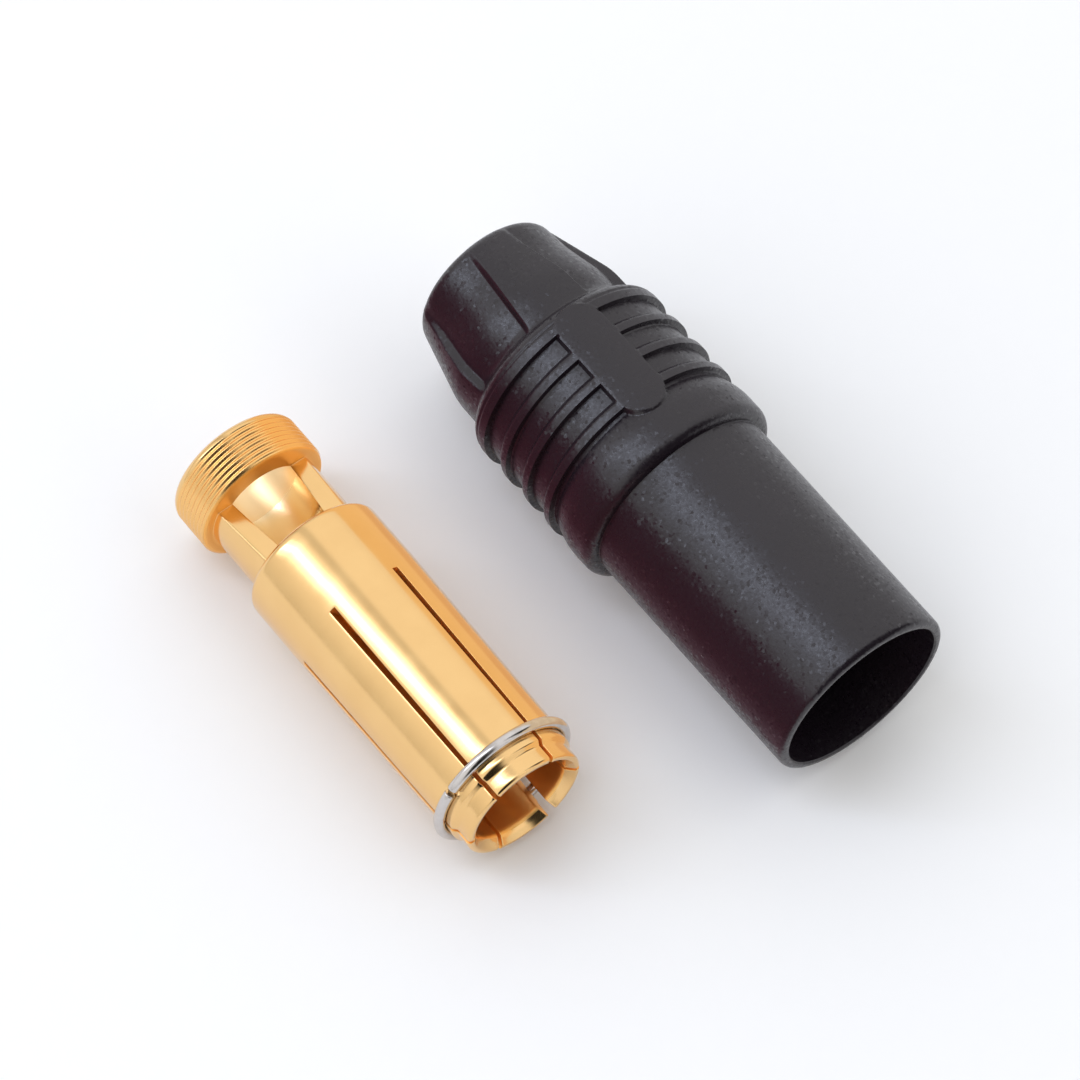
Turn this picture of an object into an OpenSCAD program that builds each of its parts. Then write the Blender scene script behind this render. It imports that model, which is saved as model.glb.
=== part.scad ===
// High-current battery connector, one half, taken apart: a gold-plated socket contact with its
// spring ring lies beside the moulded sleeve that insulates it. Both axes run along X, mouths to +X.
// A clock angle is measured about an axis from +Y towards +Z, so 90 degrees is the top.

/* [Contact lengths] */
// Length of the threaded collar at the rear end
collar_len = 3.6; // [2.5:0.1:6]
// Length of the neck between the collar and the body
neck_len = 5.3; // [3:0.1:8]
// Length of the body behind its slots
root_len = 6.2; // [5.8:0.1:10]
// Length of the slots from the mouth back
slot_len = 17; // [12:0.1:22]
// How far behind the slots the body begins to narrow
bend_back = 1.5; // [0.5:0.1:2]
// How far the socket bore runs on behind the slots
socket_extra = 1.2; // [0.5:0.1:1.5]
// How far the solder cup runs on past the neck
cup_extra = 0.7; // [0.3:0.1:0.9]
// Distance from the mouth back to the middle of the spring ring
ring_back = 2.4; // [2:0.1:4]
// Length of the thin tip in front of the lip
tip_len = 1.2; // [0.6:0.1:1.4]

/* [Contact diameters] */
// Bore of the socket, the diameter of the pin that it takes
socket_d = 7; // [5:0.1:9]
// Wall of the fingers where they leave the body
finger_wall = 1.58; // [1.2:0.01:2]
// How far the fingers are pressed inwards at the ring
finger_press = 0.24; // [0:0.01:0.3]
// Drop from the pressed fingers to the lip in front of the ring
lip_drop = 0.08; // [0.02:0.01:0.2]
// Drop from the lip to the thin tip
tip_drop = 0.27; // [0.1:0.01:0.4]
// Wall left at the rim of the tip, outside its lead-in
rim_wall = 0.42; // [0.2:0.01:0.6]
// How much smaller in radius the solder cup is than the socket
cup_drop = 0.35; // [0.1:0.01:0.8]
// Wall of the neck round the solder cup
neck_wall = 0.93; // [0.6:0.01:1.2]
// Width of the solder window where it opens the cup
window_w = 3.7; // [2:0.1:4]

/* [Contact slots and thread] */
// Number of slots, which is the number of fingers
slot_count = 6; // [4:1:8]
// Width of each slot
slot_w = 0.45; // [0.2:0.01:0.8]
// Drop from the body to the crest of the collar's thread
thread_drop = 0.13; // [0:0.01:0.3]
// Pitch of the collar's thread
thread_pitch = 0.75; // [0.5:0.05:1]
// Depth of the collar's thread
thread_depth = 0.35; // [0.1:0.01:0.45]

/* [Spring ring] */
// Diameter of the ring's wire
wire_d = 0.75; // [0.5:0.01:1]
// How deep the wire lies in its groove
ring_seat = 0.15; // [0.08:0.01:0.2]
// Clearance between the wire and its groove
ring_clear = 0.03; // [0.01:0.01:0.06]
// Gap between the ring's two ends
ring_gap = 0.35; // [0.1:0.05:1.5]
// Clock angle of the middle of that gap
ring_gap_clock = 142; // [0:1:250]

/* [Housing lengths] */
// Length of the tapered nose, up to the grip band
nose_len = 8.6; // [7:0.1:11]
// Length of the nose that tapers, before it runs level
taper_len = 6; // [4:0.1:6.4]
// Length of the grip band
band_len = 13.05; // [12.9:0.05:18]
// Length of the plain front tube
tube_len = 18.65; // [12:0.05:26]
// Length of the cable entry
entry_len = 3.2; // [2:0.1:3.6]
// Length of the threaded seat in front of the cable entry
seat_len = 6; // [4:0.1:7]

/* [Housing diameters] */
// Room on radius in the cable entry for the cable's insulation, outside the cup's bore
entry_room = 0.45; // [0.2:0.01:0.6]
// Wall round the cable entry at the rear end
entry_wall = 1.75; // [1.6:0.01:2.2]
// Clearance on radius of the threaded seat over the thread's root
seat_clear = 0.05; // [0.02:0.01:0.1]
// Room on radius between the spring ring and the front bore, where the mating half slides in
mouth_room = 0.6; // [0.4:0.01:1]
// Wall of the front tube at its mouth
tube_wall = 0.69; // [0.6:0.01:1.2]
// Growth of the front tube's radius from the mouth back to the band
tube_draft = 0.1; // [0:0.01:0.2]
// Step from the front tube up to the grip band
band_step = 0.91; // [0.86:0.01:1.4]
// Step from the level end of the nose up to the grip band
nose_step = 0.9; // [0.6:0.01:1]

/* [Housing grip] */
// Number of raised panels on the nose, with a sunk one between each pair
panel_count = 4; // [3:1:6]
// Distance from the rear end to where the sunk panels begin
sink_start = 1; // [0.8:0.1:2]
// Depth of the sunk panels at the grip band
sink_depth = 0.68; // [0.3:0.01:0.8]
// Number of grooves in the grip band
groove_count = 4; // [2:1:4]
// Distance from one groove to the next
groove_pitch = 2.33; // [1.9:0.01:2.4]
// Width of each groove's level floor
groove_floor = 1.35; // [0.6:0.01:1.35]
// Length of the slope that leads out of each groove but the last
groove_slope = 0.5; // [0.1:0.01:0.5]
// Width of the last groove's level floor
last_floor = 0.3; // [0.1:0.01:0.6]
// Length of the slope that leads out of the last groove
last_slope = 2; // [0.1:0.05:2.2]
// Depth of the grooves
groove_depth = 0.42; // [0.1:0.01:0.5]
// Distance from the band's rear face to the first groove
groove_start = 1.85; // [1.2:0.05:2.5]
// Length of the smooth pad on top of the band
pad_len = 9.5; // [8:0.1:11]
// Width of the pad
pad_w = 3.5; // [2:0.1:5]
// Distance from the band's rear face to the pad
pad_start = 0.6; // [0.4:0.05:1.5]
// Height of the pad above the band
pad_rise = 0.06; // [0.02:0.01:0.15]

/* [Edges] */
// Rounding of the nose's rear edge
nose_edge = 1.2; // [0.3:0.05:1.3]
// Rounding of the band's rear edge
band_edge_rear = 1.3; // [0.3:0.05:1.6]
// Rounding of the band's front edge
band_edge_front = 0.8; // [0.1:0.05:0.85]
// Rounding of the tube's outer edge at the mouth
mouth_edge = 0.45; // [0.1:0.05:0.45]
// Chamfer at the mouth's bore and at the cable entry
bore_chamfer = 0.12; // [0.05:0.01:0.14]
// Rounding of the collar's rear edge and of the body's shoulder
contact_edge = 0.6; // [0.2:0.05:0.7]
// Rounding of the tip's outer edge
tip_edge = 0.25; // [0.1:0.01:0.3]

/* [Layout] */
// Clear distance between the contact and the housing, side by side
lay_gap = 7.95; // [1:0.1:20]
// How far the housing's rear end lies ahead of the contact's
lay_shift = -0.15; // [-4:0.05:6]

/* [Hidden] */
$fn = 64;
eps = 0.01;
far = 30;
top_clock = 90;
thread_angle = 60;

// Radii of the contact and the ring
socket_r = socket_d / 2;
body_r = socket_r + finger_wall;
pressed_r = body_r - finger_press;
lip_r = pressed_r - lip_drop;
tip_r = lip_r - tip_drop;
cup_r = socket_r - cup_drop;
neck_r = cup_r + neck_wall;
thread_r = body_r - thread_drop;
wire_r = wire_d / 2;
ring_r = pressed_r - ring_seat + wire_r;
ring_outer_r = ring_r + wire_r;
thread_half_w = (thread_depth + eps) * tan(thread_angle / 2);
window_h = sqrt(cup_r * cup_r - window_w * window_w / 4);

// Places along the contact, from its rear end
shoulder_at = collar_len + neck_len;
contact_len = shoulder_at + root_len + slot_len;
ring_at = contact_len - ring_back;
tip_at = contact_len - tip_len;
slot_at = contact_len - slot_len;
bend_at = slot_at - bend_back;
socket_at = slot_at - socket_extra;
cup_end = shoulder_at + cup_extra;
lead_r = tip_r - rim_wall;
lead_len = lead_r - socket_r;

// Radii of the housing
mouth_r = ring_outer_r + mouth_room;
tube_front_r = mouth_r + tube_wall;
tube_rear_r = tube_front_r + tube_draft;
band_r = tube_rear_r + band_step;
nose_r = band_r - nose_step;
entry_r = cup_r + entry_room;
nose_tip_r = entry_r + entry_wall;
seat_r = thread_r - thread_depth + seat_clear;
taper_angle = atan((nose_r - nose_tip_r) / taper_len);
sink_start_r = nose_tip_r + sink_start * tan(taper_angle);
nose_round_r = nose_tip_r + nose_edge * tan(taper_angle) - nose_edge / cos(taper_angle);

// Places along the housing, from its rear end
band_at = nose_len;
tube_at = band_at + band_len;
housing_len = tube_at + tube_len;
seat_end = entry_len + seat_len;
bore_at = seat_end + mouth_r - seat_r;

// The contact lies on the rear edge of its collar and on its ring, so its mouth points up a little
collar_foot = contact_edge;
tilt = asin((ring_outer_r - thread_r) / (ring_at - collar_foot));
contact_z = thread_r * cos(tilt) - collar_foot * sin(tilt);

// The origin is on the floor between both pieces, half the longer one's length ahead of the contact's rear
contact_x = -max(contact_len, housing_len) / 2;
housing_x = contact_x + lay_shift;
axis_gap = ring_outer_r + lay_gap + band_r;
contact_y = ring_outer_r - (ring_outer_r + axis_gap + band_r) / 2;
housing_y = contact_y + axis_gap;

// Turns a shape made along Z so that it runs along X, with X of the shape to +Y and Y of it up
module lay(x, y, z, lift) {
    translate([x, y, z])
        rotate([0, -lift, 0])
            rotate([90, 0, 90])
                children();
}

// Corner piece that rounds an outer edge of radius r at its corner point; up is 1 or -1 along the axis
module edge_cut(at, r, up) {
    translate([at[0] - r, at[1] - up * r])
        difference() {
            translate([0, up > 0 ? 0 : -r - eps])
                square([r + eps, r + eps]);
            circle(r);
        }
}

// Half section of the contact's two rooms: the solder cup and the socket with its lead-in
module contact_rooms() {
    translate([-eps, -eps])
        square([cup_r + eps, cup_end + eps]);
    polygon([
        [-eps, socket_at], [socket_r, socket_at], [socket_r, contact_len - lead_len],
        [lead_r + eps, contact_len + eps], [-eps, contact_len + eps]
    ]);
}

// Half section of the contact: X is the radius and Y the distance from the rear end
module contact_section() {
    difference() {
        union() {
            square([thread_r, collar_len]);
            square([neck_r, shoulder_at + eps]);
            polygon([
                [0, shoulder_at], [body_r, shoulder_at], [body_r, bend_at], [pressed_r, ring_at],
                [lip_r, ring_at], [lip_r, tip_at - tip_drop], [tip_r, tip_at], [tip_r, contact_len],
                [0, contact_len]
            ]);
        }
        edge_cut([thread_r, 0], contact_edge, -1);
        edge_cut([body_r, shoulder_at], contact_edge, -1);
        edge_cut([tip_r, contact_len], tip_edge, 1);
        contact_rooms();
        translate([ring_r, ring_at])
            circle(wire_r + ring_clear);
        for (z = [contact_edge + thread_pitch / 2 : thread_pitch : collar_len - thread_pitch / 2])
            translate([thread_r, z])
                polygon([[-thread_depth, 0], [eps, -thread_half_w], [eps, thread_half_w]]);
    }
}

module contact() {
    color("goldenrod")
        lay(contact_x, contact_y, contact_z, tilt)
            difference() {
                rotate_extrude()
                    contact_section();
                translate([-far / 2, window_h, collar_len])
                    cube([far, far, neck_len]);
                for (k = [0 : slot_count - 1])
                    rotate(k * 360 / slot_count)
                        translate([0, -slot_w / 2, slot_at])
                            cube([far, slot_w, far]);
            }
}

module spring_ring() {
    gap_angle = 360 * ring_gap / (2 * PI * ring_r);
    color("silver")
        lay(contact_x, contact_y, contact_z, tilt)
            translate([0, 0, ring_at])
                rotate(ring_gap_clock + gap_angle / 2)
                    rotate_extrude(angle = 360 - gap_angle)
                        translate([ring_r, 0])
                            circle(wire_r);
}

// Half section of the housing's outside, without grooves and sunk panels
module housing_section() {
    round_end = [nose_edge * cos(taper_angle), -nose_edge * sin(taper_angle)];
    translate([nose_round_r, nose_edge + 2 * eps])
        circle(nose_edge + 2 * eps);
    difference() {
        polygon([
            [0, 0], [nose_round_r, 0], [nose_round_r, nose_edge] + round_end, [nose_r, taper_len],
            [nose_r, tube_at - eps], [tube_rear_r, tube_at - eps], [tube_front_r, housing_len],
            [0, housing_len]
        ]);
        edge_cut([tube_front_r, housing_len], mouth_edge, 1);
    }
    difference() {
        translate([0, band_at])
            square([band_r, band_len]);
        edge_cut([band_r, band_at], band_edge_rear, -1);
        edge_cut([band_r, tube_at], band_edge_front, 1);
    }
}

// Section of one groove: a steep wall at its rear, a level floor and a slope back up to the band
module groove_section(floor_w, slope) {
    polygon([
        [band_r - groove_depth, 0], [band_r + eps, 0], [band_r + eps, floor_w + slope],
        [band_r, floor_w + slope], [band_r - groove_depth, floor_w]
    ]);
}

// Sunk panel of the nose, cut over one sector
module sunk_panel(width) {
    rotate(-width / 2)
        rotate_extrude(angle = width)
            polygon([
                [sink_start_r, sink_start], [nose_r - sink_depth, taper_len],
                [nose_r - sink_depth, band_at], [far, band_at], [far, sink_start]
            ]);
}

// Smooth pad with round ends on top of the grip band
module pad() {
    intersection() {
        cylinder(r = band_r + pad_rise, h = tube_at);
        translate([0, far, band_at + pad_start])
            rotate([90, 0, 0])
                linear_extrude(far - band_r + 2 * groove_depth) {
                    translate([0, pad_w / 2])
                        circle(d = pad_w);
                    translate([-pad_w / 2, pad_w / 2])
                        square([pad_w, pad_len - pad_w]);
                    translate([0, pad_len - pad_w / 2])
                        circle(d = pad_w);
                }
    }
}

// Room inside the housing, from the cable entry to the mouth
module housing_room() {
    translate([0, 0, -eps])
        cylinder(r = entry_r, h = housing_len);
    translate([0, 0, -eps])
        cylinder(r1 = entry_r + bore_chamfer + eps, r2 = entry_r, h = bore_chamfer + eps);
    translate([0, 0, entry_len])
        cylinder(r = seat_r, h = housing_len);
    translate([0, 0, seat_end])
        cylinder(r1 = seat_r, r2 = mouth_r, h = bore_at - seat_end);
    translate([0, 0, bore_at])
        cylinder(r = mouth_r, h = housing_len);
    translate([0, 0, housing_len - bore_chamfer])
        cylinder(r1 = mouth_r, r2 = mouth_r + bore_chamfer + eps, h = bore_chamfer + eps);
}

module housing() {
    sector = 180 / panel_count;
    color("#2b2a2e")
        lay(housing_x, housing_y, band_r, 0)
            difference() {
                union() {
                    difference() {
                        rotate_extrude()
                            housing_section();
                        for (k = [0 : groove_count - 1])
                            translate([0, 0, band_at + groove_start + k * groove_pitch])
                                rotate_extrude()
                                    if (k < groove_count - 1) groove_section(groove_floor, groove_slope);
                                    else groove_section(last_floor, last_slope);
                        for (k = [0 : panel_count - 1])
                            rotate(top_clock + sector + 2 * k * sector)
                                sunk_panel(sector);
                    }
                    pad();
                }
                housing_room();
            }
}

housing();
contact();
spring_ring();
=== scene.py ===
"""One half of a high-current battery connector, taken apart: a gold-plated socket contact with its
spring ring, and the moulded sleeve that insulates it, lying side by side on a pale floor.

Lengths of the pieces are in millimetres until put_mesh turns them to metres. Each piece is worked out
along its own axis: z runs from its rear end to its mouth, and the clock angle turns from +Y towards +Z,
so 90 degrees is the top."""
import math

import bpy
import numpy as np
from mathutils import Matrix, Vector


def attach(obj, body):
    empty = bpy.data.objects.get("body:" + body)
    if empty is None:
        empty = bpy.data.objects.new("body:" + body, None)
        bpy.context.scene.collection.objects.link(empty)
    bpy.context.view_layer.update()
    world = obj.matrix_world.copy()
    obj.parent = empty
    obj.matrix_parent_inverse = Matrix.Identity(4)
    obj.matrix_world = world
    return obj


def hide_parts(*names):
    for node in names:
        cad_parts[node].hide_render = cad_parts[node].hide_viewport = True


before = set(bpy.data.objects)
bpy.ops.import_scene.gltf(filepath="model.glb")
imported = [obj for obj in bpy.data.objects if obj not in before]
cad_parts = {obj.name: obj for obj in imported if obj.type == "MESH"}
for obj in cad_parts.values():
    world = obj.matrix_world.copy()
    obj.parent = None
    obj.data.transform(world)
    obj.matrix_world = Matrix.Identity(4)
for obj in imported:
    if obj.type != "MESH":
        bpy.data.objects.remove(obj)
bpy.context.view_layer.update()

MM = 0.001
TOP = 90.0
# Numbers that differ by less than SAME are equal; points that are closer than WELD become one
SAME = 1e-6
WELD = 1e-4

# Where the pieces lie: the rear end of each axis, and how far the contact's mouth is lifted by its ring
CONTACT_REAR = (-20.15, -11.715, 4.939)
CONTACT_LIFT = 0.965
HOUSING_REAR = (-20.3, 9.415, 7.74)

# Contact: places along the axis
COLLAR_END = 3.6
SHOULDER = 8.9
CUP_END = 9.6
SOCKET_END = 13.9
BEND = 13.6
SLOT_ROOT = 15.1
RING_AT = 29.7
TIP_AT = 30.9
MOUTH = 32.1
# Contact: radii
CUP_R = 3.15
NECK_R = 4.08
THREAD_R = 4.95
BODY_R = 5.08
PRESSED_R = 4.84
LIP_R = 4.76
TIP_R = 4.49
SOCKET_R = 3.5
LEAD_R = 4.07
EDGE_R = 0.6
# Contact: the lead-in at the mouth leans by 45 degrees
LEAD_AT = MOUTH - (LEAD_R - SOCKET_R)
# Contact: height of the window's flats over the axis, slots, thread
WINDOW_REAR = 2.1
WINDOW_FRONT = 2.549
SLOT_COUNT = 6
SLOT_WIDTH = 0.45
SLOT_MOUTH = (0.29, 0.29, 0.29, 0.29, 0.29, 0.75)
FINGER_COLUMNS = 27
THREAD_PITCH = 0.4
THREAD_DEPTH = 0.13
# Contact: drilled ends, and the fine line that the drill left in the cup
DRILL_CONE = math.tan(math.radians(20.0))
DRILL_CORNER = 0.1
DRILL_LINE = (6.28, 6.36)
DRILL_LINE_DEPTH = 0.08
COLLAR_BORE_ROWS = 5
# Contact: how dull the plate is, from 0 on the turned outside to 1 where it was sawn, and how much paler
# painted light makes it
DULL_CUP = 0.2
DULL_THREAD = 0.4
DULL_BORE = 0.75
DULL_SAWN = 1.0
# Painted light: the drilled cup and the collar's bore get a paler colour that stands in for the bright
# surroundings reflected into these hollows
PAINTED_LIGHT_CUP = 1.0
PAINTED_LIGHT_COLLAR_BORE = 0.65

# Spring ring
RING_R = 5.065
WIRE_R = 0.375
GROOVE_R = 0.405
RING_GAP = 0.35
RING_GAP_CLOCK = 142.0

# Housing: places along the axis
TAPER_END = 6.0
BAND_AT = 8.6
TUBE_AT = 21.65
HOUSING_END = 40.3
ENTRY_END = 3.2
SEAT_END = 9.2
BORE_AT = 10.59
# Housing: radii
ENTRY_R = 3.6
SEAT_R = 4.65
BORE_R = 6.04
NOSE_TIP_R = 5.35
NOSE_R = 6.84
BAND_R = 7.74
TUBE_REAR_R = 6.83
TUBE_FRONT_R = 6.73
# Housing: the band ends in a rounding of this radius, in front of which the tube starts
BAND_ROUND = 0.8
BAND_END = TUBE_AT - BAND_ROUND
# Housing: raised and sunk panels in turn, with the step between them in degrees from its edge
PANEL_COUNT = 4
SECTOR = 360.0 / PANEL_COUNT
PANEL_EDGE = 0.25 * SECTOR
PANEL_STEP = (-0.6, 2.9)
PANEL_NARROW = 8.5
NARROW_LEFT = 0.25
NARROW_END = 8.0
# Housing: depth of the sunk panels, the share of it that comes at once, and where it comes and goes
SINK_DEPTH = 0.6
SINK_SHARE = 0.6
SINK_SOON = (-0.5, 3.5)
SINK_LATE = (0.3, TAPER_END)
SINK_FADE = (7.9, 8.8)
# Housing: grooves, the crease behind them and the pad
GROOVE_COUNT = 4
GROOVE_AT = 10.45
GROOVE_PITCH = 2.33
GROOVE_WALL = (-0.02, 0.045)
GROOVE_FLOOR = 1.35
GROOVE_SLOPE = 0.5
LAST_FLOOR = 0.3
LAST_SLOPE = 2.0
GROOVE_DEPTH = 0.42
CREASE_AT = 9.62
CREASE_DEPTH = 0.07
CREASE_SIDE = (0.03, 0.15)
PAD_AT = 9.2
PAD_LEN = 9.5
PAD_END = PAD_AT + PAD_LEN
PAD_WIDTH = 3.5
PAD_EDGE = (-0.06, 0.12)
PAD_RISE = 0.05


def smooth_step(x, low, high):
    """Rises from 0 at low to 1 at high as 3t^2 - 2t^3, with level ends."""
    t = np.clip((x - low) / (high - low), 0.0, 1.0)
    return t * t * (3.0 - 2.0 * t)


def ramp(x, low, high):
    """Rises in a straight line from 0 at low to 1 at high."""
    return np.clip((x - low) / (high - low), 0.0, 1.0)


def arc(centre, radius, start, end, steps):
    """Points (z, r) on a circle round centre; angles in degrees, from +z towards +r."""
    angle = np.radians(np.linspace(start, end, steps))
    return np.column_stack([centre[0] + radius * np.cos(angle), centre[1] + radius * np.sin(angle)])


def line(start, end, steps):
    """Evenly spaced points (z, r) on a straight line, both ends included."""
    return np.linspace(start, end, steps)


def level(z, r):
    """Points (z, r) at the places z, all at one radius."""
    return np.column_stack([z, np.full(len(z), r)])


def joined(*parts):
    """One polyline of (z, r) points from several, with repeated points dropped."""
    points = np.vstack(parts)
    step = np.abs(np.diff(points, axis=0)).max(axis=1)
    return points[np.concatenate([[True], step > SAME])]


def lie(z, r, clock, rear, lift):
    """Row-frame points of a piece that lies along X: z along its axis, r and clock around it."""
    tilt = math.radians(lift)
    up = r * np.sin(np.radians(clock))
    x = rear[0] + z * math.cos(tilt) - up * math.sin(tilt)
    y = rear[1] + r * np.cos(np.radians(clock))
    height = rear[2] + z * math.sin(tilt) + up * math.cos(tilt)
    return np.stack(np.broadcast_arrays(x, y, height), axis=-1)


def numbered(points):
    """The point numbers of a grid of points, row by row from 0."""
    return np.arange(points.shape[0] * points.shape[1]).reshape(points.shape[:2])


def grid_faces(index, closed=False):
    """Quads between neighbouring rows and columns of a grid of point numbers; closed joins the last
    column to the first."""
    if closed:
        index = np.concatenate([index, index[:, :1]], axis=1)
    corners = [index[:-1, :-1], index[:-1, 1:], index[1:, 1:], index[1:, :-1]]
    return np.stack(corners, axis=-1)


def put_mesh(name, points, quads, node, material, marks=None):
    """Welds points that fall together, drops the faces that vanish, turns the faces outwards by the sign
    of the enclosed volume, and puts the result in place of the CAD node. Marks are values per face that
    the material reads by name."""
    keys = np.round(points / WELD).astype(np.int64)
    _, first, number = np.unique(keys, axis=0, return_index=True, return_inverse=True)
    points = points[first] * MM
    quads = number.reshape(-1)[quads]
    doubled = quads == np.roll(quads, -1, axis=1)
    full = doubled.sum(axis=1) == 0
    thin = doubled.sum(axis=1) == 1
    whole = quads[full]
    triangles = quads[thin][~doubled[thin]].reshape(-1, 3)
    fans = np.vstack([whole[:, [0, 1, 2]], whole[:, [0, 2, 3]], triangles])
    a, b, c = points[fans[:, 0]], points[fans[:, 1]], points[fans[:, 2]]
    if np.einsum("ij,ij->", a, np.cross(b, c)) < 0.0:
        whole, triangles = whole[:, ::-1], triangles[:, ::-1]
    mesh = bpy.data.meshes.new(name)
    mesh.from_pydata(points.tolist(), [], whole.tolist() + triangles.tolist())
    mesh.polygons.foreach_set("use_smooth", np.ones(len(mesh.polygons), bool))
    mesh.set_sharp_from_angle(angle=math.radians(35.0))
    mesh.materials.append(material)
    for key, value in (marks or {}).items():
        mark = mesh.attributes.new(key, "FLOAT", "FACE")
        mark.data.foreach_set("value", np.concatenate([value[full], value[thin]]).astype(np.float32))
    piece = bpy.data.objects.new(name, mesh)
    bpy.context.scene.collection.objects.link(piece)
    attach(piece, "root")
    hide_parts(node)
    return piece


def linear(hex_colour):
    """Linear RGBA of an sRGB hex colour."""
    srgb = np.array([int(hex_colour[i:i + 2], 16) for i in (1, 3, 5)]) / 255.0
    value = np.where(srgb <= 0.04045, srgb / 12.92, ((srgb + 0.055) / 1.055) ** 2.4)
    return (*value.tolist(), 1.0)


def add(tree, kind, inputs=None, **settings):
    """Adds one node with its settings; inputs maps a socket to a value, or to an output to link."""
    made = tree.nodes.new(kind)
    for key, value in settings.items():
        setattr(made, key, value)
    for key, value in (inputs or {}).items():
        if isinstance(value, bpy.types.NodeSocket):
            tree.links.new(value, made.inputs[key])
        else:
            made.inputs[key].default_value = value
    return made


def new_material(name):
    """An empty node material and its tree."""
    material = bpy.data.materials.new(name)
    material.use_nodes = True
    material.node_tree.nodes.clear()
    return material, material.node_tree


def moulded_nylon():
    """Black glass-filled nylon, moulded in a spark-eroded tool: a fine grain in which some small facets
    lean their own way, so that sparks show in and beside the highlight."""
    material, tree = new_material("black_nylon_spark_grain")
    place = add(tree, "ShaderNodeTexCoord").outputs["Object"]
    # The real grain is about 0.05 mm across, and it is drawn four times as coarse so that it shows
    grain_size = 0.2 * MM
    cloud_size = 4.0 * MM
    grain = add(tree, "ShaderNodeTexNoise", {"Vector": place, "Scale": 1.0 / grain_size, "Detail": 1.0})
    facet = add(tree, "ShaderNodeTexVoronoi", {"Vector": place, "Scale": 1.0 / grain_size})
    cloud = add(tree, "ShaderNodeTexNoise", {"Vector": place, "Scale": 1.0 / cloud_size, "Detail": 3.0})
    tilt = add(tree, "ShaderNodeVectorMath", {
        0: facet.outputs["Color"], 1: (0.5, 0.5, 0.5)}, operation="SUBTRACT")
    chance = add(tree, "ShaderNodeTexWhiteNoise", {"Vector": facet.outputs["Position"]})
    share = add(tree, "ShaderNodeMapRange", {
        "Value": chance.outputs["Value"], "From Min": 0.55, "From Max": 1.0,
        "To Min": 0.03, "To Max": 0.38})
    lean = add(tree, "ShaderNodeVectorMath", {
        0: tilt.outputs["Vector"], "Scale": share.outputs["Result"]}, operation="SCALE")
    plain = add(tree, "ShaderNodeNewGeometry").outputs["Normal"]
    leant = add(tree, "ShaderNodeVectorMath", {0: plain, 1: lean.outputs["Vector"]}, operation="ADD")
    facing = add(tree, "ShaderNodeVectorMath", {0: leant.outputs["Vector"]}, operation="NORMALIZE")
    bump = add(tree, "ShaderNodeBump", {
        "Strength": 0.3, "Distance": 0.03 * MM, "Height": grain.outputs["Fac"],
        "Normal": facing.outputs["Vector"]})
    tone = add(tree, "ShaderNodeMix", {
        "Factor": cloud.outputs["Fac"], 6: linear("#160f16"), 7: linear("#1e161e")}, data_type="RGBA")
    rough = add(tree, "ShaderNodeMapRange", {
        "Value": grain.outputs["Fac"], "From Min": 0.3, "From Max": 0.7, "To Min": 0.27, "To Max": 0.41})
    shader = add(tree, "ShaderNodeBsdfPrincipled", {
        "Base Color": tone.outputs[2], "Roughness": rough.outputs["Result"], "IOR": 1.53,
        "Normal": bump.outputs["Normal"]})
    add(tree, "ShaderNodeOutputMaterial", {"Surface": shader.outputs["BSDF"]})
    return material


def plated_gold():
    """Bright gold plate over turned brass: the tool left fine rings around the axis, which the thin plate
    follows, so reflections stay sharp around the contact and blur a little along it. The bore and the sawn
    slots are duller and redder. The drilled cup and the collar's bore are painted paler: painted light
    that stands in for the bright surroundings reflected into these hollows."""
    material, tree = new_material("gold_plate_on_turned_brass")
    place = add(tree, "ShaderNodeTexCoord").outputs["Object"]
    # The real rings are about 0.05 mm apart, and they are drawn coarser so that they show
    ring_spacing = 0.12 * MM
    ring_length = 25.0 * MM
    cloud_size = 2.5 * MM
    lift = math.radians(CONTACT_LIFT)
    along = add(tree, "ShaderNodeMapping", {"Vector": place, "Rotation": (0.0, lift, 0.0)})
    bored = add(tree, "ShaderNodeAttribute", attribute_name="bored").outputs["Fac"]
    # The pale mark carries painted light on the drilled cup and the collar's bore
    pale = add(tree, "ShaderNodeAttribute", attribute_name="pale").outputs["Fac"]
    rings = add(tree, "ShaderNodeMapping", {
        "Vector": along.outputs["Vector"],
        "Scale": (1.0 / ring_spacing, 1.0 / ring_length, 1.0 / ring_length)})
    lines = add(tree, "ShaderNodeTexNoise", {
        "Vector": rings.outputs["Vector"], "Scale": 1.0, "Detail": 2.0})
    cloud = add(tree, "ShaderNodeTexNoise", {"Vector": place, "Scale": 1.0 / cloud_size, "Detail": 3.0})
    bump = add(tree, "ShaderNodeBump", {
        "Strength": 0.25, "Distance": 0.004 * MM, "Height": lines.outputs["Fac"]})
    tone = add(tree, "ShaderNodeMix", {
        "Factor": cloud.outputs["Fac"], 6: linear("#e8bd80"), 7: linear("#f2c98c")}, data_type="RGBA")
    tone = add(tree, "ShaderNodeMix", {
        "Factor": bored, 6: tone.outputs[2], 7: linear("#ffc26c")}, data_type="RGBA")
    # Painted light: where the pale mark is set, the gold is mixed towards a pale colour that stands in for
    # light reflected into the cup and the collar's bore
    tone = add(tree, "ShaderNodeMix", {
        "Factor": pale, 6: tone.outputs[2], 7: linear("#f8e2b8")}, data_type="RGBA")
    rough = add(tree, "ShaderNodeMapRange", {
        "Value": cloud.outputs["Fac"], "From Min": 0.3, "From Max": 0.7, "To Min": 0.13, "To Max": 0.19})
    rough = add(tree, "ShaderNodeMix", {"Factor": bored, 2: rough.outputs["Result"], 3: 0.42})
    shader = add(tree, "ShaderNodeBsdfPrincipled", {
        "Base Color": tone.outputs[2], "Metallic": 1.0, "Roughness": rough.outputs[0],
        "Normal": bump.outputs["Normal"]})
    add(tree, "ShaderNodeOutputMaterial", {"Surface": shader.outputs["BSDF"]})
    return material


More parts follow.
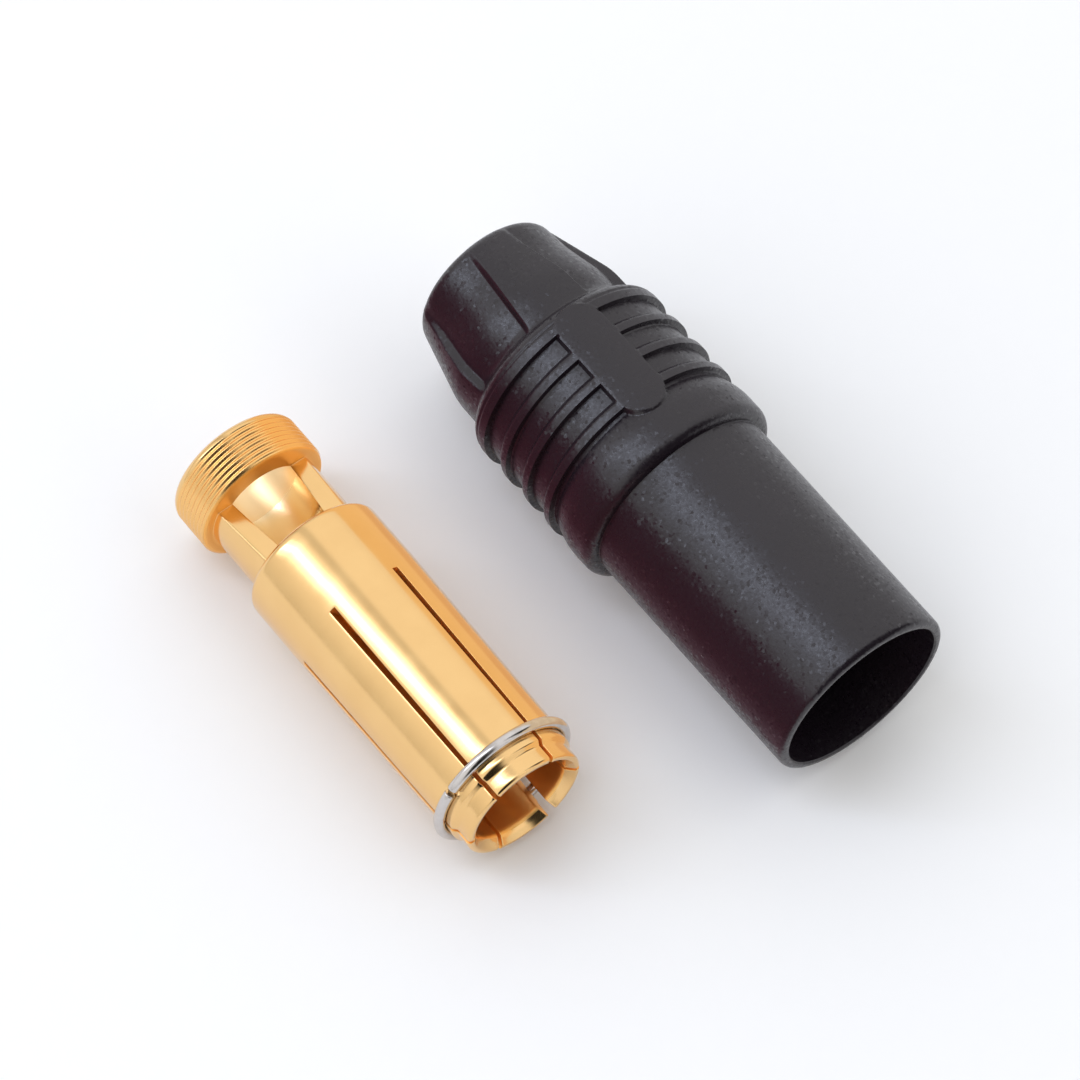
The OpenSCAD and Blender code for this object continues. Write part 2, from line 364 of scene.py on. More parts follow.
def drawn_steel():
    """Bright drawn spring wire: drawing leaves faint scores along the wire and a slightly uneven shine."""
    material, tree = new_material("drawn_spring_steel")
    place = add(tree, "ShaderNodeTexCoord").outputs["Object"]
    # The real scores are about 0.01 mm apart, and they are drawn coarser so that they show
    score_spacing = 0.05 * MM
    score_length = 2.5 * MM
    stain_size = 0.6 * MM
    stain = add(tree, "ShaderNodeTexNoise", {"Vector": place, "Scale": 1.0 / stain_size, "Detail": 3.0})
    scores = add(tree, "ShaderNodeMapping", {
        "Vector": place, "Scale": (1.0 / score_spacing, 1.0 / score_length, 1.0 / score_length)})
    lines = add(tree, "ShaderNodeTexNoise", {
        "Vector": scores.outputs["Vector"], "Scale": 1.0, "Detail": 1.0})
    bump = add(tree, "ShaderNodeBump", {
        "Strength": 0.2, "Distance": 0.004 * MM, "Height": lines.outputs["Fac"]})
    tone = add(tree, "ShaderNodeMix", {
        "Factor": stain.outputs["Fac"], 6: linear("#b9b2ad"), 7: linear("#dcd8d6")}, data_type="RGBA")
    rough = add(tree, "ShaderNodeMapRange", {
        "Value": stain.outputs["Fac"], "From Min": 0.3, "From Max": 0.7, "To Min": 0.14, "To Max": 0.24})
    shader = add(tree, "ShaderNodeBsdfPrincipled", {
        "Base Color": tone.outputs[2], "Metallic": 1.0, "Roughness": rough.outputs["Result"],
        "Normal": bump.outputs["Normal"]})
    add(tree, "ShaderNodeOutputMaterial", {"Surface": shader.outputs["BSDF"]})
    return material


def white_card():
    """Smooth matt white card: even, with the faintest clouds."""
    material, tree = new_material("white_card")
    place = add(tree, "ShaderNodeTexCoord").outputs["Object"]
    # Paper fibres are far too fine to show, so they are drawn as clouds of 1.5 mm
    cloud_size = 1.5 * MM
    fibre = add(tree, "ShaderNodeTexNoise", {"Vector": place, "Scale": 1.0 / cloud_size, "Detail": 3.0})
    shade = add(tree, "ShaderNodeMix", {
        "Factor": fibre.outputs["Fac"], 6: linear("#f9f9f9"), 7: linear("#fbfbfb")}, data_type="RGBA")
    paper = add(tree, "ShaderNodeBsdfPrincipled", {"Base Color": shade.outputs[2], "Roughness": 0.9})
    add(tree, "ShaderNodeOutputMaterial", {"Surface": paper.outputs["BSDF"]})
    return material


def housing_rows():
    """The half section of the housing as one loop of (z, r) points, from the rear end over the outside to
    the mouth and back through the bore, and a flag for the points that lie on the outside."""
    # The nose: a rounded rear edge, the taper, and a parabola where the taper ends
    nose_edge, half_bend = 1.2, 0.7
    taper = math.atan2(NOSE_R - NOSE_TIP_R, TAPER_END)
    middle = (nose_edge, NOSE_TIP_R + nose_edge * math.tan(taper) - nose_edge / math.cos(taper))
    nose_arc = arc(middle, nose_edge, 180.0, 90.0 + math.degrees(taper), 12)
    bend_z = np.linspace(TAPER_END - half_bend, TAPER_END + half_bend, 7)
    still_to_go = 1.0 - ramp(bend_z, bend_z[0], bend_z[-1])
    bend_r = NOSE_R - (NOSE_R - NOSE_TIP_R) / TAPER_END * half_bend * still_to_go ** 2
    nose = np.vstack([
        line(nose_arc[-1], (bend_z[0], bend_r[0]), 10),
        np.column_stack([bend_z, bend_r])])
    # The rear shoulder of the band is a convex quarter-round of 1.3 mm that a 0.35 mm fillet meets
    round_r, fillet_r = 1.3, 0.35
    round_c = (BAND_AT + round_r, BAND_R - round_r)
    rise = NOSE_R + fillet_r - round_c[1]
    reach = math.sqrt((round_r + fillet_r) ** 2 - rise ** 2)
    fillet_c = (round_c[0] - reach, NOSE_R + fillet_r)
    meet = math.degrees(math.atan2(rise, reach))
    shoulder = joined(
        line(nose[-1], (fillet_c[0], NOSE_R), 6),
        arc(fillet_c, fillet_r, -90.0, -meet, 6),
        arc(round_c, round_r, 180.0 - meet, 90.0, 30))
    # Rows of the band: close on the walls and slopes of the grooves and at the ends of the pad
    starts = GROOVE_AT + GROOVE_PITCH * np.arange(GROOVE_COUNT)
    near = np.array([
        -0.3, -0.12, -0.05, -0.02, 0.0, 0.02, 0.045, 0.1, 0.2, 0.3, 0.55, 0.8, 1.05, 1.25, 1.35,
        1.39, 1.43, 1.48, 1.54, 1.6, 1.67, 1.75, 1.85, 1.95])
    band_z = np.concatenate([
        (starts[:, None] + near).ravel(),
        np.arange(round_c[0], PAD_AT + 2.0, 0.1),
        np.arange(PAD_END - 2.0, PAD_END + 0.4, 0.1),
        np.linspace(19.4, BAND_END, 10)])
    band_z = np.unique(np.round(band_z[(band_z > round_c[0]) & (band_z < BAND_END)], 2))
    corner, mouth_round = 0.05, 0.45
    front = joined(
        arc((BAND_END, BAND_R - BAND_ROUND), BAND_ROUND, 90.0, 0.0, 12),
        line((TUBE_AT, BAND_R - BAND_ROUND), (TUBE_AT, TUBE_REAR_R + corner), 2),
        arc((TUBE_AT + corner, TUBE_REAR_R + corner), corner, 180.0, 270.0, 4),
        line((TUBE_AT + corner, TUBE_REAR_R), (HOUSING_END - mouth_round, TUBE_FRONT_R), 8),
        arc((HOUSING_END - mouth_round, TUBE_FRONT_R - mouth_round), mouth_round, 90.0, 0.0, 9))
    outside = joined(nose_arc, nose, shoulder, level(band_z, BAND_R), front)
    bore_edge, lip_round, entry_round, rear_round = 0.12, 0.04, 0.1, 0.25
    inside = joined(
        arc((HOUSING_END - lip_round, BORE_R + bore_edge), lip_round, 0.0, -45.0, 3),
        line((HOUSING_END - bore_edge, BORE_R), (BORE_AT, BORE_R), 6),
        line((BORE_AT, BORE_R), (SEAT_END, SEAT_R), 4),
        line((SEAT_END, SEAT_R), (ENTRY_END + entry_round, SEAT_R), 60),
        line((ENTRY_END, SEAT_R), (ENTRY_END, ENTRY_R + entry_round), 4),
        arc((ENTRY_END - entry_round, ENTRY_R + entry_round), entry_round, 0.0, -90.0, 4),
        line((ENTRY_END - entry_round, ENTRY_R), (rear_round, ENTRY_R), 6),
        arc((rear_round, ENTRY_R + rear_round), rear_round, 270.0, 180.0, 5),
        line((0.0, ENTRY_R + rear_round), (0.0, nose_arc[0][1]), 4)[:-1])
    rows = np.vstack([outside, inside])
    return rows, np.arange(len(rows)) < len(outside)


def housing_columns():
    """Clock angles round the housing, closer together on the steps beside the sunk panels and over the
    pad."""
    edges = TOP + PANEL_EDGE + 0.5 * SECTOR * np.arange(2 * PANEL_COUNT)
    sunk_side = np.tile([1.0, -1.0], PANEL_COUNT)
    on_step = np.concatenate([PANEL_STEP[:1], np.arange(0.0, PANEL_STEP[1], 0.5), PANEL_STEP[1:]])
    steps = edges[:, None] + np.outer(sunk_side, on_step)
    pad_side = math.degrees(math.asin(0.5 * PAD_WIDTH / BAND_R))
    pad_edge = pad_side + np.array([-0.35, -0.15, 0.05, 0.25, 0.5, 0.9, 1.4])
    pad = TOP + np.concatenate([np.arange(-12.6, 12.7, 0.9), -pad_edge, pad_edge])
    clocks = np.concatenate([np.arange(0.0, 360.0, 2.25), steps.ravel() % 360.0, pad])
    clocks = np.unique(np.round(clocks, 2))
    least = 0.12
    return clocks[np.concatenate([[True], np.diff(clocks) > least])]


def from_panel(clock):
    """Degrees from the middle of the nearest raised panel, with a sign."""
    return (clock - TOP + 0.5 * SECTOR) % SECTOR - 0.5 * SECTOR


def drawn_in(z, clock):
    """Clock angles with the edges of the raised panels drawn in towards their middles: fully at the rear,
    in a straight line down to a quarter at the band and not at all at the pad; beside an edge the shift
    falls off in a straight line."""
    side = from_panel(clock)
    near_edge = 1.0 - np.abs(np.abs(side) / PANEL_EDGE - 1.0)
    along = 1.0 - (1.0 - NARROW_LEFT) * ramp(z, 0.0, NARROW_END)
    along = along * (1.0 - smooth_step(z, NARROW_END, PAD_AT))
    return clock - np.sign(side) * near_edge * PANEL_NARROW * along


def housing_relief(z, clock):
    """How far the outside stands in from its round section at the panels and at the grooves, and where
    the pad is.

    Sunk panels: more than half of their depth comes in a soft step at the rear and the rest grows in a
    straight line to the end of the taper; then it stays level and fades into the shoulder of the band.
    Across, a sunk panel is level between two soft edges. Grooves: a steep rear wall, a level floor and a
    quarter sine wave out, all round but for the pad, and one shallow crease behind them. Pad: a strip
    with round ends, told by the distance to its middle line, bent with the band and a little proud."""
    across = smooth_step(np.abs(from_panel(clock)), PANEL_EDGE + PANEL_STEP[0], PANEL_EDGE + PANEL_STEP[1])
    along = SINK_SHARE * smooth_step(z, *SINK_SOON) + (1.0 - SINK_SHARE) * ramp(z, *SINK_LATE)
    sunk = SINK_DEPTH * across * along * (1.0 - smooth_step(z, *SINK_FADE))

    half_width = 0.5 * PAD_WIDTH
    offset = np.radians(clock - TOP) * BAND_R
    reach = np.hypot(offset, z - np.clip(z, PAD_AT + half_width, PAD_END - half_width))
    pad = 1.0 - ramp(reach, half_width + PAD_EDGE[0], half_width + PAD_EDGE[1])

    groove = CREASE_DEPTH * (1.0 - ramp(np.abs(z - CREASE_AT), *CREASE_SIDE))
    for k in range(GROOVE_COUNT):
        at = GROOVE_AT + k * GROOVE_PITCH
        last = k == GROOVE_COUNT - 1
        floor_len, slope = (LAST_FLOOR, LAST_SLOPE) if last else (GROOVE_FLOOR, GROOVE_SLOPE)
        wall = ramp(z, at + GROOVE_WALL[0], at + GROOVE_WALL[1])
        out = 1.0 - np.sin(0.5 * np.pi * ramp(z, at + floor_len, at + floor_len + slope))
        groove = np.maximum(groove, GROOVE_DEPTH * np.minimum(wall, out))
    return sunk, groove, pad


def make_housing(material):
    """The sleeve: its half section carried round the axis, with panels, grooves and pad pressed into the
    outside and a thread wave of triangular section on the seat inside."""
    rows, outside = housing_rows()
    z = rows[:, :1]
    clock = housing_columns()[None, :]
    sunk, groove, pad = housing_relief(z, clock)
    on_band = (outside & (rows[:, 0] > BAND_AT) & (rows[:, 0] < BAND_END))[:, None]
    skin = rows[:, 1:] - sunk * outside[:, None] - groove * on_band
    radius = skin + (np.maximum(BAND_R + PAD_RISE, skin) - skin) * pad * on_band
    clock = drawn_in(z, clock)
    rear_run_out, front_run_out = 0.3, 0.1
    on_seat = ~outside & (np.abs(rows[:, 1] - SEAT_R) < SAME)
    on_seat &= (rows[:, 0] > ENTRY_END + rear_run_out) & (rows[:, 0] < SEAT_END - front_run_out)
    turn = (z / THREAD_PITCH - clock / 360.0) % 1.0
    radius = radius + (THREAD_R - SEAT_R) * np.abs(2.0 * turn - 1.0) * on_seat[:, None]
    points = lie(z, radius, clock, HOUSING_REAR, 0.0)
    index = numbered(points)
    index = np.concatenate([index, index[:1]])
    return put_mesh("housing_sleeve", points.reshape(-1, 3), grid_faces(index, True).reshape(-1, 4),
                    "housing", material)


def body_radius(z):
    """Outside radius of the body: level, then pressed inwards in a straight line up to the ring."""
    return BODY_R - (BODY_R - PRESSED_R) * ramp(np.asarray(z, float), BEND, RING_AT)


def window_height(z):
    """Height of the window's flat over the axis: it rises in a straight line from collar to shoulder."""
    return WINDOW_REAR + (WINDOW_FRONT - WINDOW_REAR) * ramp(z, COLLAR_END, SHOULDER)


def window_edge(r, height=WINDOW_FRONT):
    """Clock angle at which a flat of this height over the axis meets the radius r: asin(height / r)."""
    return np.degrees(np.arcsin(height / r))


def contact_clocks(radius, width=SLOT_WIDTH):
    """Clock angles of the contact's columns at a radius, one row per slot: the slot's middle, then the
    finger after it from edge to edge. A slot's walls are parallel, so its half angle is asin(w / 2r);
    width is one for all or one per slot. The columns nearest to the window's edges move onto them."""
    half = 0.5 * np.asarray(width) / np.asarray(radius, float)[..., None] * np.ones(SLOT_COUNT)
    half = np.degrees(np.arcsin(half))[..., None]
    root = math.degrees(math.asin(0.5 * SLOT_WIDTH / body_radius(SLOT_ROOT)))
    share = np.tile(np.linspace(0.0, 1.0, FINGER_COLUMNS), (SLOT_COUNT, 1))
    step = 360.0 / SLOT_COUNT
    for r in (CUP_R, NECK_R):
        for clock in (window_edge(r), 180.0 - window_edge(r)):
            finger = int(clock // step)
            exact = (clock - finger * step - root) / (step - 2.0 * root)
            share[finger, np.abs(share[finger] - exact).argmin()] = exact
    slot = step * np.arange(SLOT_COUNT)[:, None]
    fingers = slot + half + (step - half - np.roll(half, -1, axis=-2)) * share
    middles = np.broadcast_to(slot, fingers.shape[:-1] + (1,))
    return np.concatenate([middles, fingers], axis=-1)


def window_clocks(z, clock):
    """Clock angles for each z, shifted so that the columns on the window's edges stay on them: on the neck
    outside and on the cup inside. Between the edges, and from there to the sides and the top, the shift
    changes in a straight line."""
    from_side = TOP - np.abs(clock - TOP)
    knots = (0.0, window_edge(NECK_R), window_edge(CUP_R), TOP)
    shift = 0.0
    for r, shares in ((NECK_R, (0.0, 1.0, 0.0, 0.0)), (CUP_R, (0.0, 0.0, 1.0, 0.0))):
        moved = window_edge(r, window_height(z)) - window_edge(r)
        shift = shift + moved * np.interp(from_side, knots, shares)
    return clock + np.where(clock > TOP, -shift, shift)


def rear_rows():
    """The half section of the contact behind its slots as (z, r) points: from the drilled end of the cup
    back along its wall, round the collar and over its thread, then along neck and body; and the number of
    the row after each of these parts."""
    cone, corner = DRILL_CONE, DRILL_CORNER
    neck_z = np.array([COLLAR_END, 3.75, 4.4, 5.4, 6.2, *DRILL_LINE, 6.44, 7.4, 8.2, 8.7, SHOULDER])
    body_z = np.array([10.2, 11.0, 11.8, 12.6, 13.2, BEND, 14.0, 14.6, 15.0, SLOT_ROOT])
    cup = joined(
        line((CUP_END + CUP_R * cone, 0.0), (CUP_END + corner * cone, CUP_R - corner), 6),
        line((CUP_END - corner, CUP_R), (SHOULDER, CUP_R), 3))
    wall = level(neck_z[::-1], CUP_R)[1:]
    rear_edge, rear_chamfer = 0.06, 0.2
    collar = joined(
        line((COLLAR_END, CUP_R), (rear_chamfer, CUP_R), COLLAR_BORE_ROWS + 1),
        line((rear_edge, CUP_R + rear_edge), (0.0, CUP_R + rear_chamfer), 2),
        line((0.0, CUP_R + rear_chamfer), (0.0, THREAD_R - EDGE_R), 5),
        arc((EDGE_R, THREAD_R - EDGE_R), EDGE_R, 180.0, 90.0, 9))[1:]
    thread = level(np.arange(EDGE_R, COLLAR_END - 0.12, 0.1 * THREAD_PITCH), THREAD_R)[1:]
    face = np.array([
        (COLLAR_END - 0.1, THREAD_R - 0.12), (COLLAR_END - 0.02, THREAD_R - 0.25),
        (COLLAR_END, THREAD_R - 0.32), (COLLAR_END, THREAD_R - 0.6)])
    neck = level(neck_z, NECK_R)
    body = joined(
        line((SHOULDER, BODY_R - EDGE_R - 0.12), (SHOULDER, BODY_R - EDGE_R), 2),
        arc((SHOULDER + EDGE_R, BODY_R - EDGE_R), EDGE_R, 180.0, 90.0, 9),
        np.column_stack([body_z, body_radius(body_z)]))
    parts = [cup, wall, collar, thread, face, neck, body]
    return np.vstack(parts), np.cumsum([len(part) for part in parts])


def rear_part():
    """The contact behind its slots: its half section carried round the axis, with the thread and the
    window cut into it. Gives points, faces and how dull each face is, and then how pale it is: the paler
    colour of the cup and the collar's bore is painted light that stands in for light reflected into them."""
    rows, (cup_end, wall_end, collar_end, thread_end, face_end, neck_end, _) = rear_rows()
    cup_rows = np.arange(cup_end - 1, wall_end)
    neck_rows = np.arange(face_end, neck_end)
    collar_bore = slice(wall_end, wall_end + COLLAR_BORE_ROWS)
    on_thread = slice(collar_end, thread_end)
    z = rows[:, :1]
    clock = window_clocks(z, contact_clocks(body_radius(SLOT_ROOT)).reshape(-1))
    radius = np.broadcast_to(rows[:, 1:], clock.shape).copy()
    # The thread is a helix of rounded triangular section that runs out at the rear of the collar
    run_out = 0.3
    turn = (z[on_thread] / THREAD_PITCH - clock[on_thread] / 360.0) % 1.0
    wave = smooth_step(np.abs(2.0 * turn - 1.0), 0.08, 0.9)
    fade = ramp(z[on_thread], EDGE_R - run_out, EDGE_R + run_out)
    radius[on_thread] -= THREAD_DEPTH * (1.0 - wave) * fade
    # The window is a flat: its height over sin(clock) is the radius, between the cup and the neck
    least_rise = 0.2
    rise = np.sin(np.radians(clock[neck_rows]))
    flat = window_height(z[neck_rows]) / np.maximum(rise, least_rise)
    flat = np.clip(np.where(rise > least_rise, flat, NECK_R), CUP_R, NECK_R)
    flat[np.abs(flat - CUP_R) < SAME] = CUP_R
    radius[neck_rows] = flat
    cut = flat[0] == CUP_R
    line_rows = cup_rows[np.isin(rows[cup_rows, 0], DRILL_LINE)]
    radius[line_rows] += np.where(cut, 0.0, DRILL_LINE_DEPTH)
    points = lie(z, radius, clock, CONTACT_REAR, CONTACT_LIFT)
    faces = grid_faces(numbered(points), True)
    # Where the window cuts the cup open, neither wall nor neck is left
    keep = np.ones(faces.shape[:2], bool)
    for opened in (cup_rows, neck_rows):
        keep[np.ix_(opened[:-1], cut & np.roll(cut, -1))] = False
    dull = np.zeros(keep.shape)
    dull[:wall_end] = DULL_CUP
    dull[collar_bore] = DULL_BORE
    dull[on_thread] = DULL_THREAD
    dull[thread_end:face_end] = DULL_SAWN
    # Painted light: the cup and the collar's bore are marked to be drawn paler, standing in for light
    # reflected into them
    pale = np.zeros(keep.shape)
    pale[:wall_end] = PAINTED_LIGHT_CUP
    pale[collar_bore] = PAINTED_LIGHT_COLLAR_BORE
    return (points.reshape(-1, 3), faces[keep], dull[keep]), pale[keep]


def finger_rows():
    """The outside of a finger as (z, r) points: from the root of the slots over the ring's groove and the
    lip to the thin tip with its rounded mouth."""
    tip_slope, tip_round, mouth_edge = 0.27, 0.25, 0.02
    body_z = np.array([SLOT_ROOT, 15.2, 16.0, 17.5, 19.0, 20.5, 22.0, 23.5, 25.0, 26.5, 27.8, 28.6, 29.2])
    dip, lip_rise = (math.degrees(math.asin((RING_R - r) / GROOVE_R)) for r in (PRESSED_R, LIP_R))
    return joined(
        np.column_stack([body_z, body_radius(body_z)]),
        arc((RING_AT, RING_R), GROOVE_R, 180.0 + dip, 360.0 - lip_rise, 9),
        line((30.06, LIP_R), (30.4, LIP_R), 3),
        line((TIP_AT - tip_slope, LIP_R), (TIP_AT, TIP_R), 7),
        line((TIP_AT + 0.2, TIP_R), (MOUTH - tip_round, TIP_R), 4),
        arc((MOUTH - tip_round, TIP_R - tip_round), tip_round, 90.0, 12.0, 6),
        [(MOUTH, TIP_R - tip_round - mouth_edge)])


def finger_parts():
    """The fingers, and the roots of the slots between them, each with points, faces and how dull they are.
    A finger's cross section is a loop, outside from edge to edge and inside back again; it is carried from
    the root of the slots to the mouth and closed there by a strip from the outside to the bore."""
    rows = finger_rows()
    bore = SOCKET_R + np.maximum(rows[:, 0] - LEAD_AT, 0.0)
    # The fingers were pressed together, so all slots but the lowest narrow towards the mouth
    closing = ramp(rows[:, :1], SLOT_ROOT, RING_AT)
    gap = SLOT_WIDTH + (np.array(SLOT_MOUTH) - SLOT_WIDTH) * closing
    skin, lining = (
        lie(rows[:, 0, None, None], r[:, None, None], contact_clocks(r, gap), CONTACT_REAR, CONTACT_LIFT)
        for r in (rows[:, 1], bore))
    count = FINGER_COLUMNS
    column = np.arange(2 * count)
    lined = DULL_BORE * ((column >= count) & (rows[:-1, :1] < LEAD_AT))
    dull = np.where(column % count == count - 1, DULL_SAWN, lined).reshape(-1)
    parts = []
    for finger in np.concatenate([skin[:, :, 1:], lining[:, :, :0:-1]], axis=2).swapaxes(0, 1):
        index = numbered(finger)
        tip = grid_faces(np.stack([index[-1, :count], index[-1, :count - 1:-1]])).reshape(-1, 4)
        faces = np.vstack([grid_faces(index, True).reshape(-1, 4), tip])
        parts.append((finger.reshape(-1, 3), faces, np.concatenate([dull, np.zeros(len(tip))])))
    for k in range(SLOT_COUNT):
        root = np.stack([[side[k - 1, -1], side[k, 0], side[k, 1]] for side in (skin[0], lining[0])])
        faces = grid_faces(numbered(root)).reshape(-1, 4)
        parts.append((root.reshape(-1, 3), faces, np.full(len(faces), DULL_SAWN)))
    return parts


def socket_end():
    """The bore of the socket behind the slots and the drilled cone that ends it: points, faces and how
    dull they are."""
    cone, corner = DRILL_CONE, DRILL_CORNER
    rows = joined(
        line((SLOT_ROOT, SOCKET_R), (SOCKET_END, SOCKET_R), 4),
        line((SOCKET_END - corner * cone, SOCKET_R - corner), (SOCKET_END - SOCKET_R * cone, 0.0), 6))
    clock = contact_clocks(SOCKET_R).reshape(-1)
    points = lie(rows[:, :1], rows[:, 1:], clock, CONTACT_REAR, CONTACT_LIFT)
    faces = grid_faces(numbered(points), True).reshape(-1, 4)
    return points.reshape(-1, 3), faces, np.full(len(faces), DULL_BORE)


def make_contact(material):
    """The socket contact in grids that are welded together: the rear part with cup, threaded collar, neck
    and body; the fingers and the roots of their slots; the socket's end."""
    rear, drilled = rear_part()
    points, faces, dull = zip(rear, *finger_parts(), socket_end())
    before = np.cumsum([0] + [len(part) for part in points[:-1]])
    faces = np.vstack([part + count for part, count in zip(faces, before)])
    # The pale mark is painted light, set on the cup and the collar's bore only
    pale = np.zeros(len(faces))
    pale[:len(drilled)] = drilled
    return put_mesh("socket_contact", np.vstack(points), faces, "contact", material,
                    {"bored": np.concatenate(dull), "pale": pale})


def break_edges(piece):
    """Breaks the sharp edges of a turned piece with a small rounding and evens out its shading."""
    bevel = piece.modifiers.new("broken_edges", "BEVEL")
    bevel.width = 0.03 * MM
    bevel.segments = 2
    bevel.limit_method = "ANGLE"
    bevel.angle_limit = math.radians(50.0)
    bevel.use_clamp_overlap = False
    even = piece.modifiers.new("even_shading", "WEIGHTED_NORMAL")
    even.keep_sharp = False


def make_ring(material):
    """The spring ring: a round wire carried along an arc, with rounded ends on either side of its gap."""
    round_off, steps = 0.1, 180
    gap = math.degrees(RING_GAP / RING_R)
    near = np.array([0.0, 0.0, 0.01, 0.03, 0.06, round_off])
    size = np.sqrt(round_off ** 2 - (round_off - near) ** 2) - round_off
    size[0] = -WIRE_R
    total = math.radians(360.0 - gap) * RING_R
    along = np.concatenate([near, np.linspace(0.5, total - 0.5, steps), total - near[::-1]])
    wire = np.concatenate([WIRE_R + size, np.full(steps, WIRE_R), (WIRE_R + size)[::-1]])
    clock = RING_GAP_CLOCK + 0.5 * gap + np.degrees(along / RING_R)
    around = np.radians(np.arange(0.0, 360.0, 15.0))
    z = RING_AT + wire[:, None] * np.sin(around)
    r = RING_R + wire[:, None] * np.cos(around)
    points = lie(z, r, clock[:, None], CONTACT_REAR, CONTACT_LIFT)
    return put_mesh("retaining_ring", points.reshape(-1, 3),
                    grid_faces(numbered(points), True).reshape(-1, 4),
                    "spring_ring", material)


def studio_board(name, corners, material):
    """A flat board of the studio between four corners in metres."""
    mesh = bpy.data.meshes.new(name)
    mesh.from_pydata(corners, [], [(0, 1, 2, 3)])
    mesh.materials.append(material)
    board = bpy.data.objects.new(name, mesh)
    bpy.context.scene.collection.objects.link(board)
    return board


def flag(name, start, end, low, high, brightness, colour):
    """An upright card from start to end (x, y) on the floor, from low to high over it, that shows in
    reflections only."""
    material, tree = new_material(name)
    face = add(tree, "ShaderNodeEmission", {"Color": linear(colour), "Strength": brightness})
    add(tree, "ShaderNodeOutputMaterial", {"Surface": face.outputs["Emission"]})
    corners = np.array([(*start, low), (*end, low), (*end, high), (*start, high)]) * MM
    board = studio_board(name, corners.tolist(), material)
    for ray in ("camera", "diffuse", "shadow", "transmission", "volume_scatter"):
        setattr(board, "visible_" + ray, False)


def softbox(name, place, size, radiance, colour):
    """A rectangular area light at place, in metres, that faces the origin; radiance is the brightness of
    its face."""
    data = bpy.data.lights.new(name, "AREA")
    data.shape = "RECTANGLE"
    data.size, data.size_y = size
    data.energy = radiance * math.pi * size[0] * size[1]
    data.color = linear(colour)[:3]
    light = bpy.data.objects.new(name, data)
    light.location = place
    light.rotation_euler = (-Vector(place)).to_track_quat("-Z", "Y").to_euler()
    light.visible_camera = False
    bpy.context.scene.collection.objects.link(light)


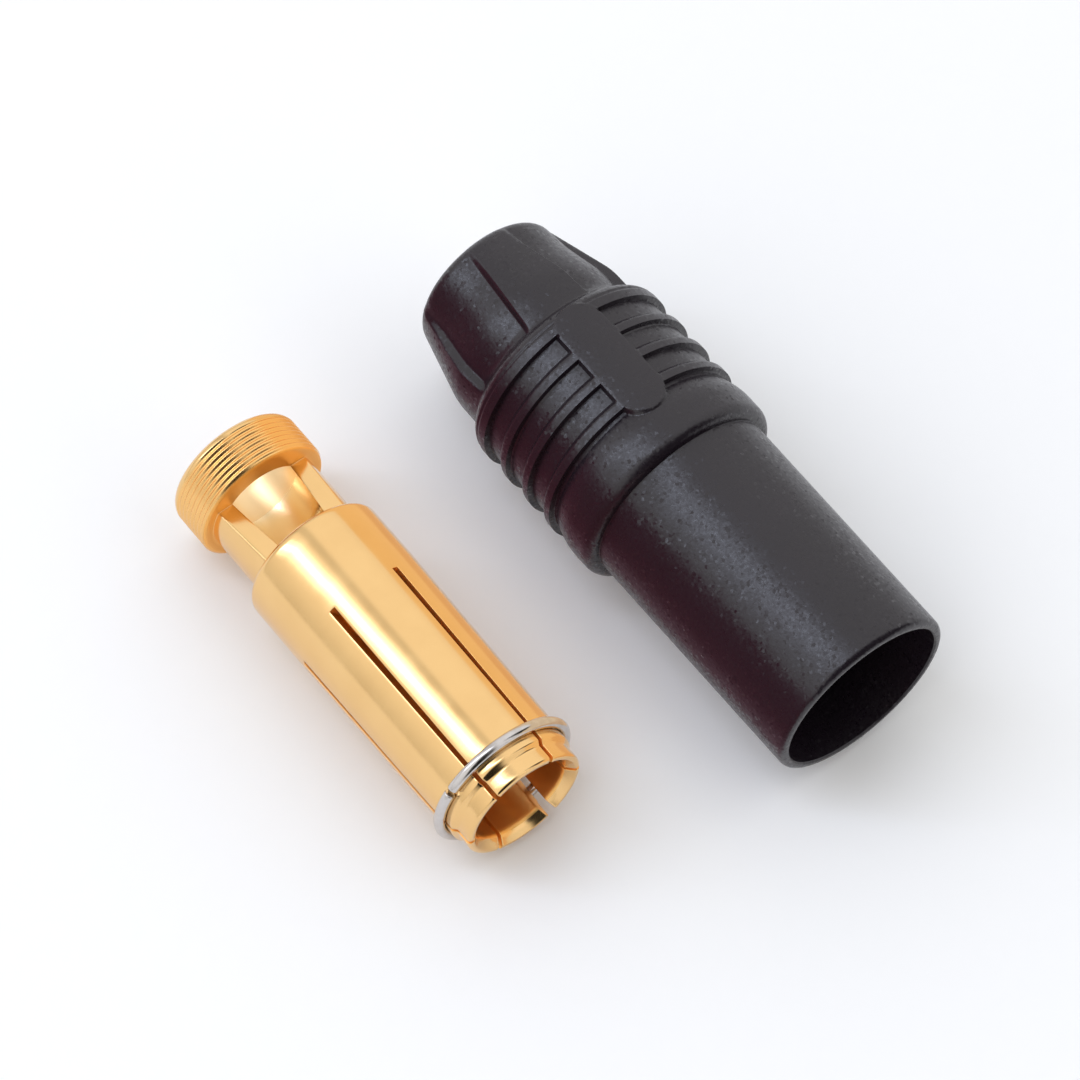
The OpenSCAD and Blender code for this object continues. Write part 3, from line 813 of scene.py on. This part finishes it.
def white_tent():
    """The world as a white tent: a little darker towards the horizon and along the seam of its roof, with
    a dark oval opening in its front that the camera looks through."""
    world = bpy.data.worlds.new("studio")
    world.use_nodes = True
    tree = world.node_tree
    tree.nodes.clear()
    direction = add(tree, "ShaderNodeTexCoord").outputs["Generated"]
    across = add(tree, "ShaderNodeSeparateXYZ", {"Vector": direction})
    wall = add(tree, "ShaderNodeMapRange", {
        "Value": across.outputs["Z"], "From Min": 0.0, "From Max": 0.6, "To Min": 0.82, "To Max": 1.15})
    off_seam = add(tree, "ShaderNodeMath", {0: across.outputs["Y"]}, operation="ABSOLUTE")
    seam = add(tree, "ShaderNodeMapRange", {
        "Value": off_seam.outputs["Value"], "From Min": 0.06, "From Max": 0.14,
        "To Min": 0.72, "To Max": 1.0})
    # The oval is told by the distance from its middle, with each axis divided by its half size
    turn = (0.0, math.radians(38.0), math.radians(16.0))
    half_width, half_height = 0.36, 0.66
    turned = add(tree, "ShaderNodeVectorRotate", {
        "Vector": direction, "Rotation": turn}, rotation_type="EULER_XYZ")
    from_front = add(tree, "ShaderNodeVectorMath", {
        0: turned.outputs["Vector"], 1: (1.0, 0.0, 0.0)}, operation="SUBTRACT")
    oval = add(tree, "ShaderNodeVectorMath", {
        0: from_front.outputs["Vector"], 1: (1.0, 1.0 / half_width, 1.0 / half_height)},
        operation="MULTIPLY")
    reach = add(tree, "ShaderNodeVectorMath", {0: oval.outputs["Vector"]}, operation="LENGTH")
    opening = add(tree, "ShaderNodeMapRange", {
        "Value": reach.outputs["Value"], "From Min": 0.85, "From Max": 1.1, "To Min": 0.02, "To Max": 1.0})
    cloth = add(tree, "ShaderNodeMath", {
        0: wall.outputs["Result"], 1: seam.outputs["Result"]}, operation="MULTIPLY")
    glow = add(tree, "ShaderNodeMath", {
        0: cloth.outputs["Value"], 1: opening.outputs["Result"]}, operation="MULTIPLY")
    sky = add(tree, "ShaderNodeBackground", {
        "Color": linear("#fafafa"), "Strength": glow.outputs["Value"]})
    add(tree, "ShaderNodeOutputWorld", {"Surface": sky.outputs["Background"]})
    return world


make_housing(moulded_nylon())
break_edges(make_contact(plated_gold()))
make_ring(drawn_steel())

FLOOR_HALF = 3.0
floor_corners = [(x * FLOOR_HALF, y * FLOOR_HALF, 0.0) for x, y in ((-1, -1), (1, -1), (1, 1), (-1, 1))]
floor = studio_board("floor", floor_corners, white_card())

# A strip light overhead with a brighter tube along its middle
LAMP = "#dce7ff"
softbox("overhead_strip", (-0.19, -0.19, 0.43), size=(0.14, 0.6), radiance=1.5, colour=LAMP)
softbox("overhead_tube", (-0.189, -0.189, 0.428), size=(0.03, 0.5), radiance=7.0, colour=LAMP)

# Between the pieces warm white towards the gold and dark red towards the nylon, each with another tone
# near the floor; black in front of the housing
GOLD_SIDE = ((-36.0, -0.6), (26.0, -0.6))
NYLON_SIDE = ((-36.0, -0.3), (26.0, -0.3))
flag("warm_white_flag", *GOLD_SIDE, low=6.0, high=15.0, brightness=1.0, colour="#ffe6c0")
flag("amber_flag", *GOLD_SIDE, low=0.3, high=6.0, brightness=0.85, colour="#ffd9ae")
flag("dark_red_flag", *NYLON_SIDE, low=6.5, high=15.0, brightness=0.3, colour="#ff7c9a")
flag("dusk_flag", *NYLON_SIDE, low=0.3, high=6.5, brightness=0.45, colour="#ffb9cc")
flag("black_flag", (25.0, 0.0), (25.0, 45.0), low=13.0, high=45.0, brightness=0.01, colour="#ffffff")

scene = bpy.context.scene
scene.world = white_tent()
scene.view_settings.view_transform = "Standard"

# Camera: the photograph's viewing angle, from 280 mm away
AIM = Vector((-5.134, 2.697, 0.0)) * MM
VIEW = Vector((0.3814, -0.2953, 0.8759))
DISTANCE = 280.0
camera_data = bpy.data.cameras.new("camera")
camera_data.lens = 138.12
camera_data.sensor_width = 36.0
camera_data.clip_start = 0.01
camera = bpy.data.objects.new("camera", camera_data)
camera.location = AIM + VIEW * DISTANCE * MM
camera.rotation_euler = (AIM - camera.location).to_track_quat("-Z", "Y").to_euler()
scene.collection.objects.link(camera)
scene.camera = camera
